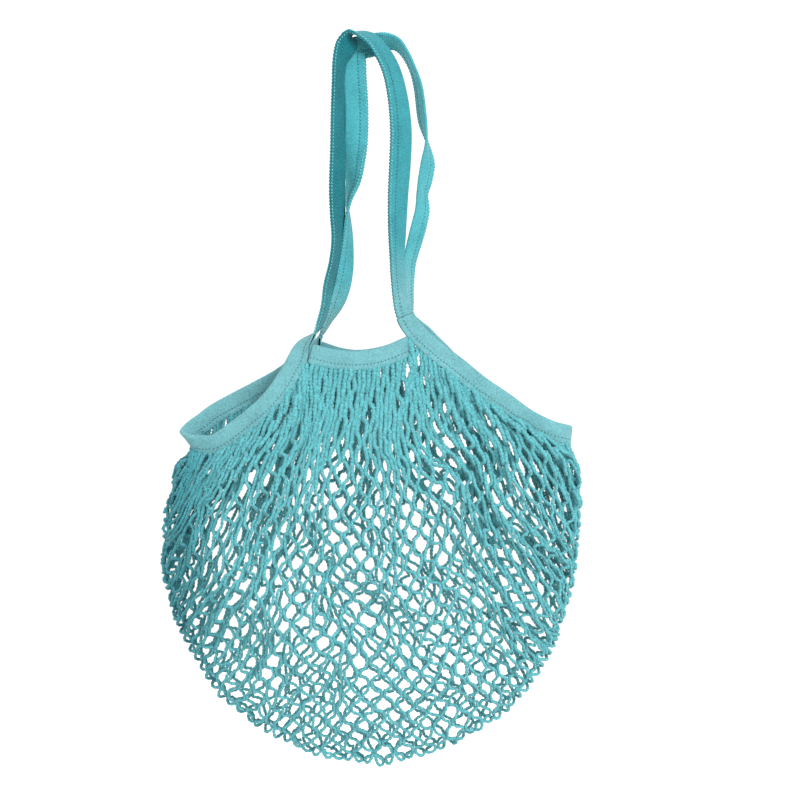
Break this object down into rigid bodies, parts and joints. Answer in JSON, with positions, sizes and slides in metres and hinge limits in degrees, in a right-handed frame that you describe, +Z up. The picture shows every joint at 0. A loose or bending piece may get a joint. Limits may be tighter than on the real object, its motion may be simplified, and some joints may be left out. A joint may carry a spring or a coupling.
{
  "type": "string shopping bag",
  "caption": "Long-handled cotton net shopping bag hanging by its two tape handles, with a diamond-mesh pouch and tape-bound mouth.",
  "frame": {"origin": "underside of the tops of the two handles, where a hook or a shoulder carries the bag", "axes": "+Z up, +X to the right seen from the front, -Y towards the viewer in front of the bag"},
  "size_m": [0.3752, 0.1213, 0.672],
  "materials": {
    "handle_tape": "matte woven cotton tape",
    "binding_tape": "matte woven cotton tape",
    "net_cord": "matte knitted cotton cord"
  },
  "bodies": {
    "root": {"front_handle": "handle_tape", "back_handle": "handle_tape", "front_centre_binding": "binding_tape", "back_centre_binding": "binding_tape", "left_side_binding": "binding_tape", "right_side_binding": "binding_tape", "net_body": "net_cord"}
  },
  "joints": []
}
